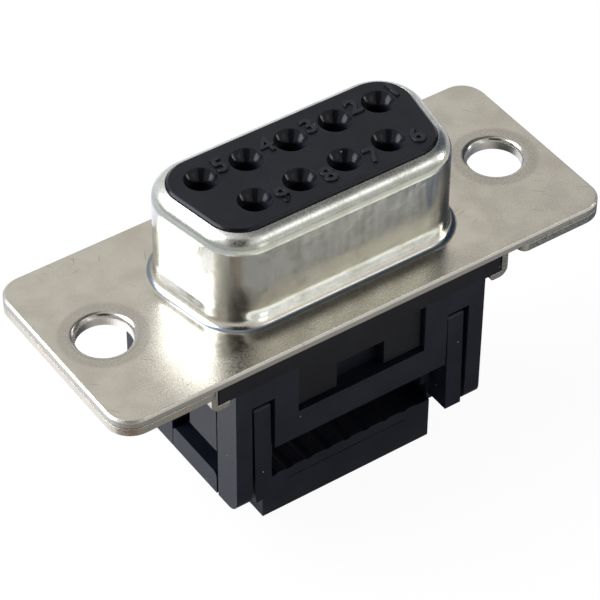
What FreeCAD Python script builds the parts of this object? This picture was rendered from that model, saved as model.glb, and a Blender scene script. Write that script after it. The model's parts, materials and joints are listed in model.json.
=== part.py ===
import FreeCAD, Part
import math
import os

# Nine-way receptacle for flat ribbon cable, in millimetres.
# Origin: centre of the flange's mating face, midway between the two fixing holes.
# +Z is the mating direction, +X runs along the flange towards contact 1,
# +Y points to the side of the five-contact row.

V = FreeCAD.Vector

# Contacts and the pitches that lay out the whole receptacle
COUNT_LONG_ROW = 5
COUNT_SHORT_ROW = COUNT_LONG_ROW - 1
COUNT = COUNT_LONG_ROW + COUNT_SHORT_ROW
CONTACT_PITCH = 2.77
ROW_SPACING = 2.84
CABLE_PITCH = 1.27
CABLE_GROOVE_RADIUS = 0.47

# Margins from the contacts outwards to the mating face and the shroud
FACE_END = 1.86
FACE_FRONT = 1.79
SHROUD_RIM_END = 0.765
SHROUD_RIM_FRONT = 0.74
FACE_WIDTH = (COUNT_LONG_ROW - 1) * CONTACT_PITCH + 2 * FACE_END
FACE_DEPTH = ROW_SPACING + 2 * FACE_FRONT
SHROUD_WIDTH = FACE_WIDTH + 2 * SHROUD_RIM_END
SHROUD_DEPTH = FACE_DEPTH + 2 * SHROUD_RIM_FRONT

# Flange from front to rear, and the block and housing behind it
FLANGE_WIDTH = 12.55
BLOCK_INSET = 0.955
BLOCK_DEPTH = FLANGE_WIDTH - 2 * BLOCK_INSET

# Margins from the cable forks outwards: core, housing, block, fixing holes and flange
BRACKET_FIT = 0.04
FOOT_REACH = 0.75
CORE_END = 0.44
HOUSING_END = 2.48
FOOT_GAP = 0.34
HOLE_BEYOND_BLOCK = 3.445
HOLE_EDGE = 2.91
CORE_LENGTH = (COUNT - 1) * CABLE_PITCH + 2 * CORE_END
HOUSING_LENGTH = CORE_LENGTH + 2 * HOUSING_END
BLOCK_LENGTH = HOUSING_LENGTH + 2 * (FOOT_REACH - BRACKET_FIT + FOOT_GAP)
HOLE_SPACING = BLOCK_LENGTH + 2 * HOLE_BEYOND_BLOCK
FLANGE_LENGTH = HOLE_SPACING + 2 * HOLE_EDGE

# Drawn shell with its flange
FLANGE_CORNER = 1.45
FLANGE_EDGE_BEVEL = 0.12
SHELL_SHEET = 0.45
SHROUD_CORNER = 2.60
SHROUD_SLANT = 10.0
SHROUD_TOP = 5.95
SHROUD_LIP_ROUND = 1.00
SHROUD_ROOT_ROUND = 0.50

# Fixing holes, rolled through as eyelets
HOLE_BORE = 3.05
EYELET_WALL = 0.30
EYELET_MOUTH_BEVEL = 0.24
EYELET_MOUTH_EDGE = 0.07
EYELET_BOTTOM = -0.74

# Rear brackets
BRACKET_SHEET = 0.48
BRACKET_PLATE_GAP = 0.57
BRACKET_PLATE_ROUND = 0.45
TAB_SHEET = 0.38
TAB_BEND = 0.30
TAB_OUTER_BEND = 0.55
TAB_TIP_ROUND = 0.23

# Front insulator
BLOCK_UNDERSIDE = -2.65
BLOCK_CORNER = 0.12
SHROUD_FIT = 0.05
FACE_TOP = 6.07
FACE_CORNER = 1.90
FACE_BEVEL = 0.12
LIP_FIT = 0.04
ENTRY_DIAMETER = 1.85
ENTRY_DEPTH = 0.70
ENTRY_BORE = 1.10
ENTRY_BORE_DEPTH = 0.60

# Locking tongue of the front insulator, in a window of the housing's front wall
TONGUE_WIDTH = 7.94
TONGUE_TIP = -5.67
TONGUE_RECESS = 0.27
TONGUE_THICK = 0.70
TONGUE_NOTCH_WIDTH = 3.05
TONGUE_NOTCH_OFFSET = 0.06
TONGUE_NOTCH_TOP = -4.00
WINDOW_SIDE_FIT = 0.11
WINDOW_SILL_FIT = 0.20
WINDOW_FLOOR_FIT = 0.10

# Contact housing behind the front insulator, flush with it at the front; its walls, panels,
# core and core legs end above the bottom of its corner posts
HOUSING_HEIGHT = 8.80
HOUSING_REAR_STEP = 0.08
HOUSING_WALL = 1.25
WALL_RISE = 3.73
PANEL_RISE = 3.25
CORE_RISE = 2.40
CORE_LEG_RISE = 1.52
POST_WIDTH = 1.00
POST_ROUND = 0.85
FRONT_POST_DEPTH = 1.90
REAR_POST_DEPTH = 4.43
ARM_SLOT_WIDTH = 1.43
ARM_SLOT_BELOW_BLOCK = 1.40
ARM_SKIN = 0.12
END_PANEL_GAP = 1.81
END_PANEL_GAP_TOP = -3.60
END_GROOVE_WIDTH = 0.10
END_GROOVE_DEPTH = 0.12
END_GROOVE_TOP = -3.80
CORE_LEG_WIDTH = 0.60

# Stamped contacts
CONTACT_SHEET = 0.30
BEAM_SHEET = 0.24
BEAM_WIDTH = 1.30
BEAM_FOOT = 0.75
BEAM_GRIP = 0.46
BEAM_GRIP_DROP = 0.90
BEAM_MOUTH = 0.51
BEAM_FIT = 0.06
BEAM_BOTTOM = -1.30
BEAM_WEB_HEIGHT = 1.10
SHANK_WIDTH = 0.70
SHANK_JOG_TOP = -2.80
SHANK_JOG_BOTTOM = -3.80
SHANK_FIT = 0.03
FORK_WIDTH = 0.84
FORK_LENGTH = 2.10
FORK_TIP_RISE = 1.05
FORK_SLOT = 0.26
FORK_SLOT_DEPTH = 1.60
FORK_POINT = 0.24
FORK_TIP_BEVEL = 0.14
FORK_MOUTH_BEVEL = 0.05

# Cable cover, shown before it is pressed home
COVER_STROKE = 1.40
COVER_BLOCK_END = 0.03
COVER_BLOCK_INSET = 1.22
COVER_SEAT_FIT = 0.03
COVER_RIB_RISE = 0.10
COVER_FOOT = 2.80
COVER_EDGE_ROUND = 0.20
COVER_LINE_DEPTH = 0.04
COVER_LINE_HEIGHT = 0.10
COVER_LINE_BELOW = 0.63
COVER_LINE_LENGTH = 7.80
COVER_WEB_THICK = 0.85
COVER_LUG_FOOT = 0.09
COVER_LUG_CORNER = 0.35
COVER_LUG_FIT = 0.06
ARM_WIDTH = 1.04
ARM_SIDE_FIT = 0.22
ARM_TOP_GAP = 0.42
ARM_FOOT_RISE = 0.20
ARM_SKIN_FIT = 0.03
ARM_FACE_FIT = 0.02
ARM_TIP_LEAN = 0.02
ARM_BACK_FIT = 0.05
ARM_ROOT = 0.30
ARM_TOP_ROUND = 0.18
POCKET_FIT = 0.12
POCKET_CLEARANCE = 0.50

# Overrun of cutting shapes, overlap of joined shapes, and slack in finding edges
OVERRUN = 1.0
OVERLAP = 0.5
SLACK = 1e-3

FLANGE_BACK = -SHELL_SHEET
BRACKET_TOP = FLANGE_BACK - BRACKET_FIT
BRACKET_BACK = BRACKET_TOP - BRACKET_SHEET
BRACKET_PLATE_INNER = BLOCK_LENGTH / 2 + BRACKET_PLATE_GAP
HOUSING_FRONT = -BLOCK_DEPTH / 2
HOUSING_REAR = BLOCK_DEPTH / 2 + HOUSING_REAR_STEP
WINDOW_WIDTH = TONGUE_WIDTH + 2 * WINDOW_SIDE_FIT
WINDOW_SILL = TONGUE_TIP - WINDOW_SILL_FIT
COVER_BLOCK_LENGTH = CORE_LENGTH + 2 * COVER_BLOCK_END
COVER_BLOCK_DEPTH = BLOCK_DEPTH - 2 * COVER_BLOCK_INSET
HALF_HOUSING = HOUSING_LENGTH / 2
POST_BOTTOM = BLOCK_UNDERSIDE - HOUSING_HEIGHT
WALL_BOTTOM = POST_BOTTOM + WALL_RISE
PANEL_BOTTOM = POST_BOTTOM + PANEL_RISE
CORE_BOTTOM = POST_BOTTOM + CORE_RISE
CORE_LEG_BOTTOM = POST_BOTTOM + CORE_LEG_RISE
ARM_SLOT_TOP = BLOCK_UNDERSIDE - ARM_SLOT_BELOW_BLOCK
ARM_TOP = ARM_SLOT_TOP - ARM_TOP_GAP
ARM_BOTTOM = POST_BOTTOM + ARM_FOOT_RISE
FORK_TIP = POST_BOTTOM + FORK_TIP_RISE
FORK_SHOULDER = FORK_TIP + FORK_LENGTH
COVER_BOTTOM = POST_BOTTOM - COVER_FOOT
SLOT_OUTER = HALF_HOUSING - POST_WIDTH
SLOT_INNER = SLOT_OUTER - ARM_SLOT_WIDTH
FRONT_POST_REAR = HOUSING_FRONT + FRONT_POST_DEPTH
REAR_POST_FRONT = HOUSING_REAR - REAR_POST_DEPTH
CORE_FRONT = HOUSING_FRONT + HOUSING_WALL
CORE_REAR = HOUSING_REAR - HOUSING_WALL
SHROUD_CEILING = SHROUD_TOP - SHELL_SHEET
CAVITY_TOP = FACE_TOP - ENTRY_DEPTH - ENTRY_BORE_DEPTH
BEAM_TOP = CAVITY_TOP - BEAM_FIT
CAVITY_HALF = BEAM_FOOT + BEAM_FIT
COVER_SHOULDER = CORE_LEG_BOTTOM - COVER_STROKE - COVER_SEAT_FIT
COVER_RIB_TOP = COVER_SHOULDER + COVER_RIB_RISE
COVER_LUG_BOTTOM = COVER_SHOULDER - COVER_LUG_FOOT
POCKET_BOTTOM = FORK_TIP - COVER_STROKE - POCKET_CLEARANCE
# A straight bevel inside a bend keeps the sheet's thickness when its leg is this share of the radius
BEND_BEVEL = 2 - math.sqrt(2)


def box(x0, x1, y0, y1, z0, z1):
    return Part.makeBox(x1 - x0, y1 - y0, z1 - z0, V(x0, y0, z0))


def mirrored(shape):
    return shape.mirror(V(0, 0, 0), V(1, 0, 0))


def both_ends(shape):
    return [shape, mirrored(shape)]


def cut_all(body, tools):
    return body.cut(tools[0].multiFuse(tools[1:])) if len(tools) > 1 else body.cut(tools[0])


def one_solid(shape):
    shape = shape.removeSplitter()
    return shape.Solids[0] if len(shape.Solids) == 1 else shape


def edges_where(shape, test):
    return [e for e in shape.Edges if test(e.BoundBox)]


def flat_at(height):
    return lambda b: abs(b.ZMin - height) < SLACK and abs(b.ZMax - height) < SLACK


def flat_within(height, width, depth):
    level = flat_at(height)
    return lambda b: (level(b) and max(-b.XMin, b.XMax) < width / 2 + SLACK
                      and max(-b.YMin, b.YMax) < depth / 2 + SLACK)


def upright(b):
    return b.XLength < SLACK and b.YLength < SLACK


def along_x(y, z):
    return lambda b: (b.YLength < SLACK and abs(b.YMin - y) < SLACK
                      and b.ZLength < SLACK and abs(b.ZMin - z) < SLACK)


def along_y(x, z):
    return lambda b: (b.XLength < SLACK and abs(b.XMin - x) < SLACK
                      and b.ZLength < SLACK and abs(b.ZMin - z) < SLACK)


def d_face(width, depth, corner, z):
    """D outline with its wide side at +Y and both sides slanted."""
    slant = math.radians(SHROUD_SLANT)
    cy = depth / 2 - corner
    wide = width / 2 - corner
    narrow = wide - 2 * cy * math.tan(slant)
    centres = [(wide, cy), (narrow, -cy), (-narrow, -cy), (-wide, cy)]
    spans = [(90, -SHROUD_SLANT), (-SHROUD_SLANT, -90), (-90, SHROUD_SLANT - 180), (180 + SHROUD_SLANT, 90)]
    ends = []
    for (x, y), (a0, a1) in zip(centres, spans):
        points = []
        for angle in (a0, (a0 + a1) / 2, a1):
            turn = math.radians(angle)
            points.append(V(x + corner * math.cos(turn), y + corner * math.sin(turn), z))
        ends.append(points)
    edges = []
    for i, points in enumerate(ends):
        edges.append(Part.Arc(*points).toShape())
        edges.append(Part.LineSegment(points[2], ends[(i + 1) % 4][0]).toShape())
    return Part.Face(Part.Wire(edges))


def d_prism(width, depth, corner, z0, z1):
    return d_face(width, depth, corner, z0).extrude(V(0, 0, z1 - z0))


def flange_plate(z0, z1):
    plate = box(-FLANGE_LENGTH / 2, FLANGE_LENGTH / 2, -FLANGE_WIDTH / 2, FLANGE_WIDTH / 2, z0, z1)
    return plate.makeFillet(FLANGE_CORNER, edges_where(plate, upright))


def eyelet(x):
    """Collar drawn down from the flange into the bracket's hole."""
    outer = HOLE_BORE / 2 + EYELET_WALL
    return Part.makeCylinder(outer, -SHELL_SHEET / 2 - EYELET_BOTTOM, V(x, 0, EYELET_BOTTOM))


def rolled_mouth(body, x):
    """Bore of an eyelet with its mouth rolled over in two steps."""
    body = body.cut(Part.makeCylinder(HOLE_BORE / 2, 2 * FLANGE_LENGTH, V(x, 0, -FLANGE_LENGTH)))
    for bevel in (EYELET_MOUTH_BEVEL, EYELET_MOUTH_EDGE):
        mouth = [e for e in edges_where(body, flat_at(0))
                 if abs(e.BoundBox.Center.x - x) < SLACK and e.BoundBox.XLength < FLANGE_WIDTH / 2]
        body = body.makeChamfer(bevel, mouth)
    return body


def shroud_hollow():
    """Inside of the drawn shroud, with the face's mouth through its lip."""
    inset = 2 * SHELL_SHEET
    hollow = d_prism(SHROUD_WIDTH - inset, SHROUD_DEPTH - inset, SHROUD_CORNER - SHELL_SHEET, FLANGE_BACK,
                     SHROUD_CEILING)
    lip_bevel = BEND_BEVEL * (SHROUD_LIP_ROUND - SHELL_SHEET)
    hollow = hollow.makeChamfer(lip_bevel, edges_where(hollow, flat_at(SHROUD_CEILING)))
    mouth = d_prism(FACE_WIDTH + 2 * LIP_FIT, FACE_DEPTH + 2 * LIP_FIT, FACE_CORNER + LIP_FIT,
                    SHROUD_CEILING - OVERLAP, SHROUD_TOP + OVERRUN)
    return hollow.fuse(mouth)


def front_shell():
    plate = flange_plate(FLANGE_BACK, 0)
    plate = plate.makeChamfer(FLANGE_EDGE_BEVEL, edges_where(plate, flat_at(0)))
    shroud = d_prism(SHROUD_WIDTH, SHROUD_DEPTH, SHROUD_CORNER, FLANGE_BACK, SHROUD_TOP)
    shroud = shroud.makeFillet(SHROUD_LIP_ROUND, edges_where(shroud, flat_at(SHROUD_TOP)))
    body = plate.fuse(shroud).removeSplitter()
    body = body.makeFillet(SHROUD_ROOT_ROUND, edges_where(body, flat_within(0, SHROUD_WIDTH, SHROUD_DEPTH)))
    body = body.cut(shroud_hollow())
    back_bevel = BEND_BEVEL * (SHROUD_ROOT_ROUND + SHELL_SHEET)
    back = edges_where(body, flat_within(FLANGE_BACK, SHROUD_WIDTH, SHROUD_DEPTH))
    body = body.makeChamfer(back_bevel, back)
    for x in (-HOLE_SPACING / 2, HOLE_SPACING / 2):
        body = rolled_mouth(body.fuse(eyelet(x)), x)
    return one_solid(body)


def rear_bracket():
    """Right-hand bracket; the left one is its mirror image."""
    plate = flange_plate(BRACKET_BACK, BRACKET_TOP)
    keep = box(BRACKET_PLATE_INNER, FLANGE_LENGTH, -FLANGE_WIDTH, FLANGE_WIDTH, BRACKET_BACK, BRACKET_TOP)
    plate = plate.common(keep)
    inner = [e for e in edges_where(plate, upright) if e.BoundBox.XMax < BRACKET_PLATE_INNER + SLACK]
    plate = plate.makeFillet(BRACKET_PLATE_ROUND, inner)
    wall_in = BLOCK_LENGTH / 2 + BRACKET_FIT
    wall_out = wall_in + TAB_SHEET
    foot_top = BLOCK_UNDERSIDE - BRACKET_FIT / 2
    foot_back = foot_top - TAB_SHEET
    half = BLOCK_DEPTH / 2
    wall = box(wall_in, wall_out, -half, half, foot_back, BRACKET_TOP)
    ledge = box(wall_in, BRACKET_PLATE_INNER + BRACKET_PLATE_ROUND, -half, half, BRACKET_BACK, BRACKET_TOP)
    foot = box(wall_in - FOOT_REACH, wall_out, -half, half, foot_back, foot_top)
    tab = wall.fuse([ledge, foot]).removeSplitter()
    tab = tab.makeFillet(TAB_OUTER_BEND, edges_where(tab, along_y(wall_out, foot_back)))
    tab = tab.makeFillet(TAB_BEND, edges_where(tab, along_y(wall_in, BRACKET_TOP)))
    tab = tab.makeFillet(TAB_TIP_ROUND, edges_where(tab, along_y(wall_in - FOOT_REACH, foot_back)))
    hole = Part.makeCylinder(HOLE_BORE / 2 + EYELET_WALL + BRACKET_FIT, 2 * FLANGE_WIDTH,
                             V(HOLE_SPACING / 2, 0, -FLANGE_WIDTH))
    return one_solid(plate.fuse(tab).cut(hole))


def contact_places():
    """Contact number, socket x, row y and cable-fork x of each contact."""
    places = []
    for number in range(1, COUNT + 1):
        if number <= COUNT_LONG_ROW:
            step = (COUNT_LONG_ROW - 1) - 2 * (number - 1)
            row = ROW_SPACING / 2
        else:
            step = (COUNT_SHORT_ROW - 1) - 2 * (number - 1 - COUNT_LONG_ROW)
            row = -ROW_SPACING / 2
        places.append((number, step * CONTACT_PITCH / 2, row, step * CABLE_PITCH))
    return places


def contact_entries():
    """Countersunk entry, guide bore and square cavity of each contact."""
    tools = []
    for _, x, y, _ in contact_places():
        cone = Part.makeCone(ENTRY_BORE / 2, ENTRY_DIAMETER / 2, ENTRY_DEPTH, V(x, y, FACE_TOP - ENTRY_DEPTH))
        guide = Part.makeCylinder(ENTRY_BORE / 2, FACE_TOP - CAVITY_TOP, V(x, y, CAVITY_TOP))
        room = box(x - CAVITY_HALF, x + CAVITY_HALF, y - CAVITY_HALF, y + CAVITY_HALF,
                   BLOCK_UNDERSIDE - OVERRUN, CAVITY_TOP)
        tools += [cone, guide, room]
    return tools


def tongue():
    half = TONGUE_WIDTH / 2
    front = HOUSING_FRONT + TONGUE_RECESS
    plate = box(-half, half, front, front + TONGUE_THICK, TONGUE_TIP, BLOCK_UNDERSIDE + OVERLAP)
    left = TONGUE_NOTCH_OFFSET - TONGUE_NOTCH_WIDTH / 2
    right = TONGUE_NOTCH_OFFSET + TONGUE_NOTCH_WIDTH / 2
    notch = box(left, right, front - OVERRUN, front + TONGUE_THICK + OVERRUN, TONGUE_TIP - OVERRUN,
                TONGUE_NOTCH_TOP)
    return plate.cut(notch)


def front_insulator():
    half_x = BLOCK_LENGTH / 2
    half_y = BLOCK_DEPTH / 2
    block = box(-half_x, half_x, -half_y, half_y, BLOCK_UNDERSIDE, FLANGE_BACK)
    block = block.makeFillet(BLOCK_CORNER, edges_where(block, upright))
    inset = 2 * (SHELL_SHEET + SHROUD_FIT)
    neck_top = SHROUD_CEILING - SHROUD_FIT
    neck = d_prism(SHROUD_WIDTH - inset, SHROUD_DEPTH - inset, SHROUD_CORNER - inset / 2,
                   FLANGE_BACK - OVERLAP, neck_top)
    neck_bevel = BEND_BEVEL * (SHROUD_LIP_ROUND - SHELL_SHEET)
    neck = neck.makeChamfer(neck_bevel, edges_where(neck, flat_at(neck_top)))
    face = d_prism(FACE_WIDTH, FACE_DEPTH, FACE_CORNER, neck_top - OVERLAP, FACE_TOP)
    face = face.makeChamfer(FACE_BEVEL, edges_where(face, flat_at(FACE_TOP)))
    body = block.fuse([neck, face, tongue()])
    return one_solid(cut_all(body, contact_entries()))


def arm_slots():
    """Slots for the cover's arms, blind behind a thin skin at their upper end."""
    tools = []
    for wall, inward in ((HOUSING_FRONT, 1), (HOUSING_REAR, -1)):
        skin = wall + inward * ARM_SKIN
        back = wall + inward * FRONT_POST_DEPTH
        outside = wall - inward * OVERRUN
        for y_start, top in ((outside, ARM_SLOT_TOP), (skin, BLOCK_UNDERSIDE + OVERRUN)):
            y0, y1 = sorted((y_start, back))
            slot = box(SLOT_INNER, SLOT_OUTER, y0, y1, POST_BOTTOM - OVERRUN, top)
            tools += both_ends(slot)
    return tools


def contact_channels():
    """Flat channels that hold the contacts' shanks in the housing."""
    tools = []
    half_y = CONTACT_SHEET / 2 + SHANK_FIT
    half = SHANK_WIDTH / 2 + SHANK_FIT
    wide = FORK_WIDTH / 2 + SHANK_FIT
    for _, beam_x, y, fork_x in contact_places():
        low = min(beam_x, fork_x) - half
        high = max(beam_x, fork_x) + half
        tools.append(box(low, high, y - half_y, y + half_y, SHANK_JOG_BOTTOM - SHANK_FIT,
                         BLOCK_UNDERSIDE + OVERRUN))
        tools.append(box(fork_x - half, fork_x + half, y - half_y, y + half_y, FORK_SHOULDER,
                         SHANK_JOG_BOTTOM))
        tools.append(box(fork_x - wide, fork_x + wide, y - half_y, y + half_y, CORE_BOTTOM - OVERRUN,
                         FORK_SHOULDER + SHANK_FIT))
    return tools


def corner_posts():
    parts = []
    for y0, y1, outside in ((HOUSING_FRONT, FRONT_POST_REAR, HOUSING_FRONT),
                            (REAR_POST_FRONT, HOUSING_REAR, HOUSING_REAR)):
        post = box(SLOT_OUTER, HALF_HOUSING, y0, y1, POST_BOTTOM, PANEL_BOTTOM + OVERLAP)
        post = post.makeFillet(POST_ROUND, edges_where(post, along_x(outside, POST_BOTTOM)))
        parts += both_ends(post)
    return parts


def contact_housing():
    upper = box(-HALF_HOUSING, HALF_HOUSING, HOUSING_FRONT, HOUSING_REAR, PANEL_BOTTOM, BLOCK_UNDERSIDE)
    half_core = CORE_LENGTH / 2
    core_top = PANEL_BOTTOM + OVERLAP
    core = box(-half_core, half_core, CORE_FRONT, CORE_REAR, CORE_BOTTOM, core_top)
    leg = box(half_core - CORE_LEG_WIDTH, half_core, CORE_FRONT, CORE_REAR, CORE_LEG_BOTTOM, core_top)
    body = upper.fuse([core] + both_ends(leg) + corner_posts())
    tools = arm_slots()
    for y0, y1 in ((HOUSING_FRONT - OVERRUN, CORE_FRONT), (CORE_REAR, HOUSING_REAR + OVERRUN)):
        tools.append(box(-SLOT_OUTER, SLOT_OUTER, y0, y1, PANEL_BOTTOM - OVERRUN, WALL_BOTTOM))
    window_back = HOUSING_FRONT + TONGUE_RECESS + TONGUE_THICK + WINDOW_FLOOR_FIT
    tools.append(box(-WINDOW_WIDTH / 2, WINDOW_WIDTH / 2, HOUSING_FRONT - OVERRUN, window_back, WINDOW_SILL,
                     BLOCK_UNDERSIDE + OVERRUN))
    gap = box(SLOT_OUTER, HALF_HOUSING + OVERRUN, REAR_POST_FRONT - END_PANEL_GAP, REAR_POST_FRONT,
              PANEL_BOTTOM - OVERRUN, END_PANEL_GAP_TOP)
    groove = box(HALF_HOUSING - END_GROOVE_DEPTH, HALF_HOUSING + OVERRUN, FRONT_POST_REAR - END_GROOVE_WIDTH,
                 FRONT_POST_REAR, POST_BOTTOM - OVERRUN, END_GROOVE_TOP)
    tools += both_ends(gap) + both_ends(groove)
    tools += contact_channels()
    return one_solid(cut_all(body, tools))


def strip_face(outline, y):
    points = [V(x, y, z) for x, z in outline]
    return Part.Face(Part.makePolygon(points + points[:1]))


def contact_beam(x, y, side):
    """Spring beam of the receptacle, leaning in to its grip and opening out at its mouth."""
    grip_z = BEAM_TOP - BEAM_GRIP_DROP
    inner = [(BEAM_FOOT - BEAM_SHEET, BEAM_BOTTOM), (BEAM_GRIP, grip_z), (BEAM_MOUTH, BEAM_TOP)]
    outer = [(BEAM_MOUTH + BEAM_SHEET, BEAM_TOP), (BEAM_GRIP + BEAM_SHEET, grip_z), (BEAM_FOOT, BEAM_BOTTOM)]
    outline = [(x + side * dx, z) for dx, z in inner + outer]
    return strip_face(outline, y - BEAM_WIDTH / 2).extrude(V(0, BEAM_WIDTH, 0))


def contact(place):
    """Stamped contact: twin spring beams above, jogged shank and cable fork below."""
    _, beam_x, y, fork_x = place
    half = SHANK_WIDTH / 2
    half_fork = FORK_WIDTH / 2
    half_slot = FORK_SLOT / 2
    point_z = FORK_TIP + FORK_POINT
    fork_half = [(fork_x + half, SHANK_JOG_BOTTOM), (fork_x + half, FORK_SHOULDER),
                 (fork_x + half_fork, FORK_SHOULDER), (fork_x + half_fork, point_z),
                 (fork_x + half_fork - FORK_TIP_BEVEL, FORK_TIP),
                 (fork_x + half_slot + FORK_MOUTH_BEVEL, FORK_TIP),
                 (fork_x + half_slot, point_z), (fork_x + half_slot, FORK_TIP + FORK_SLOT_DEPTH)]
    other_half = [(2 * fork_x - x, z) for x, z in reversed(fork_half)]
    web_top = BEAM_BOTTOM + BEAM_WEB_HEIGHT
    web = [(beam_x - half, SHANK_JOG_TOP), (beam_x - half, BEAM_BOTTOM), (beam_x - BEAM_FOOT, BEAM_BOTTOM),
           (beam_x - BEAM_FOOT, web_top), (beam_x + BEAM_FOOT, web_top), (beam_x + BEAM_FOOT, BEAM_BOTTOM),
           (beam_x + half, BEAM_BOTTOM), (beam_x + half, SHANK_JOG_TOP)]
    strip = strip_face(fork_half + other_half + web, y - CONTACT_SHEET / 2).extrude(V(0, CONTACT_SHEET, 0))
    return one_solid(strip.fuse([contact_beam(beam_x, y, 1), contact_beam(beam_x, y, -1)]))


def cover_grooves():
    """Cable grooves along Y; the ribs between them rise above the shoulders."""
    half_y = COVER_BLOCK_DEPTH / 2 + OVERRUN
    last = (COUNT - 1) // 2
    axis_z = COVER_SHOULDER + CABLE_GROOVE_RADIUS
    tools = []
    for step in range(1 - last, last):
        start = V(step * CABLE_PITCH, -half_y, axis_z)
        tools.append(Part.makeCylinder(CABLE_GROOVE_RADIUS, 2 * half_y, start, V(0, 1, 0)))
    edge = last * CABLE_PITCH - CABLE_GROOVE_RADIUS
    side = box(edge, COVER_BLOCK_LENGTH, -half_y, half_y, COVER_SHOULDER, COVER_RIB_TOP + OVERRUN)
    return tools + both_ends(side)


def cover_block():
    half_x = COVER_BLOCK_LENGTH / 2
    half_y = COVER_BLOCK_DEPTH / 2
    block = box(-half_x, half_x, -half_y, half_y, COVER_BOTTOM, COVER_RIB_TOP)
    block = block.makeFillet(COVER_EDGE_ROUND, edges_where(block, flat_at(COVER_BOTTOM)))
    line_top = COVER_SHOULDER - COVER_LINE_BELOW
    lines = []
    for face_y in (-half_y, half_y):
        lines.append(box(-COVER_LINE_LENGTH / 2, COVER_LINE_LENGTH / 2, face_y - COVER_LINE_DEPTH,
                         face_y + COVER_LINE_DEPTH, line_top - COVER_LINE_HEIGHT, line_top))
    return cut_all(block, cover_grooves() + lines)


def cover_lugs():
    """End lugs between the housing's posts, and the bridges that carry the arms."""
    inner = CORE_LENGTH / 2 + COVER_LUG_FIT
    reach = ARM_BACK_FIT + ARM_ROOT - FRONT_POST_REAR
    front = FRONT_POST_REAR + COVER_LUG_FIT
    rear = REAR_POST_FRONT - COVER_LUG_FIT
    lug = box(inner, HALF_HOUSING, front, rear, COVER_LUG_BOTTOM, CORE_LEG_BOTTOM)
    lug = lug.makeFillet(COVER_LUG_CORNER, edges_where(lug, along_x(front, CORE_LEG_BOTTOM))
                         + edges_where(lug, along_x(rear, CORE_LEG_BOTTOM)))
    bridge = box(inner, SLOT_OUTER - COVER_LUG_FIT, -reach, reach, COVER_LUG_BOTTOM, CORE_LEG_BOTTOM)
    return both_ends(lug) + both_ends(bridge)


def cover_arms():
    """Latch arms, flush with the housing at the foot and leaning inward towards the tip."""
    outer = SLOT_OUTER - ARM_SIDE_FIT
    arms = []
    for wall, inward in ((HOUSING_FRONT, 1), (HOUSING_REAR, -1)):
        foot_y = wall + inward * ARM_FACE_FIT
        tip_y = wall + inward * (ARM_SKIN + ARM_SKIN_FIT + ARM_TIP_LEAN)
        back_y = wall + inward * (FRONT_POST_DEPTH - ARM_BACK_FIT)
        outline = [(foot_y, ARM_BOTTOM), (tip_y, ARM_TOP), (back_y, ARM_TOP), (back_y, ARM_BOTTOM)]
        points = [V(outer - ARM_WIDTH, y, z) for y, z in outline]
        arm = Part.Face(Part.makePolygon(points + points[:1])).extrude(V(ARM_WIDTH, 0, 0))
        tip_edges = edges_where(arm, along_x(tip_y, ARM_TOP)) + edges_where(arm, along_x(back_y, ARM_TOP))
        arms += both_ends(arm.makeFillet(ARM_TOP_ROUND, tip_edges))
    return arms


def cover_pockets():
    """Pockets that take the fork tips when the cover is pressed home."""
    tools = []
    half_x = FORK_WIDTH / 2 + POCKET_FIT
    half_y = CONTACT_SHEET / 2 + POCKET_FIT
    for _, _, y, x in contact_places():
        tools.append(box(x - half_x, x + half_x, y - half_y, y + half_y, POCKET_BOTTOM,
                         COVER_SHOULDER + OVERRUN))
    return tools


def cable_cover():
    reach = -FRONT_POST_REAR - COVER_LUG_FIT
    half_x = SLOT_OUTER - COVER_LUG_FIT
    web = box(-half_x, half_x, -reach, reach, COVER_SHOULDER - COVER_WEB_THICK, COVER_SHOULDER)
    body = cover_block().fuse([web] + cover_lugs() + cover_arms())
    return one_solid(cut_all(body, cover_pockets()))


def build():
    nodes = {"front_shell": front_shell(),
             "rear_bracket_right": rear_bracket(),
             "rear_bracket_left": mirrored(rear_bracket()),
             "front_insulator": front_insulator(),
             "contact_housing": contact_housing(),
             "cable_cover": cable_cover()}
    for place in contact_places():
        nodes["contact_%d" % place[0]] = contact(place)
    return nodes


os.makedirs("parts", exist_ok=True)
for name, shape in build().items():
    shape.exportStep("parts/%s.step" % name)
    print(name, len(shape.Solids), shape.isValid(), round(shape.Volume, 2))
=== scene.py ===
import json
import math

import bmesh
import bpy
from bpy.props import FloatProperty, FloatVectorProperty, PointerProperty
from mathutils import Matrix, Vector

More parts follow.
